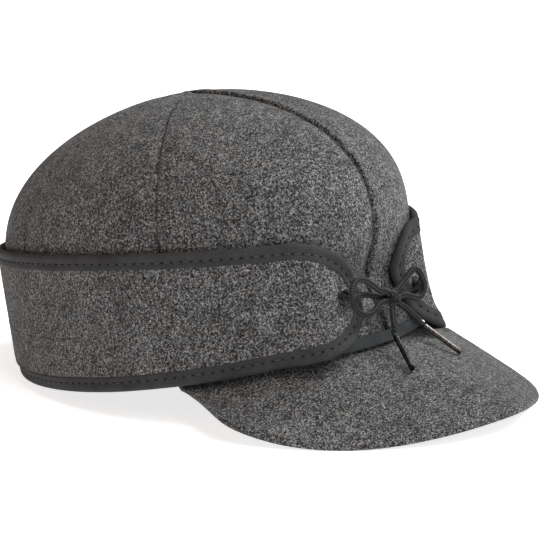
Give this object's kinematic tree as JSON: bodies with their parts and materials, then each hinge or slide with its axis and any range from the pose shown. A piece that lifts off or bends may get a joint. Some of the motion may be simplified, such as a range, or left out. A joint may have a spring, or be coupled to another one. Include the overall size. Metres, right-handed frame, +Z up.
{
  "type": "earflap cap",
  "caption": "Wool cap with six-panel crown, short stiff visor and a bound ear band folded up round the crown and tied in front with a lace bow.",
  "frame": {"origin": "centre of the cap's box, on the surface that the cap lies on, lace and aglets left out", "axes": "+Z up from the surface, +Y towards the back of the cap, +X towards the wearer's left; the visor points to -Y"},
  "size_m": [0.183, 0.2928, 0.1398],
  "materials": {
    "wool": "felted salt-and-pepper charcoal wool",
    "twill_tape": "dark charcoal twill tape",
    "lace_braid": "black ribbed braid",
    "black_metal": "gloss black",
    "dark_metal": "dark nickel"
  },
  "bodies": {
    "root": {"crown_panel_front_left": "wool", "crown_panel_side_left": "wool", "crown_panel_back_left": "wool", "crown_panel_back_right": "wool", "crown_panel_side_right": "wool", "crown_panel_front_right": "wool", "visor": "wool", "hem_tape": "twill_tape", "ear_band": "wool", "binding_upper": "twill_tape", "binding_lower": "twill_tape", "eyelet_right": "black_metal", "eyelet_left": "black_metal", "lace_right_run": "lace_braid", "lace_left_run": "lace_braid", "lace_right_loop": "lace_braid", "lace_left_loop": "lace_braid", "lace_right_tail": "lace_braid", "lace_left_tail": "lace_braid", "lace_knot": "lace_braid", "aglet_right": "dark_metal", "aglet_left": "dark_metal"}
  },
  "joints": []
}
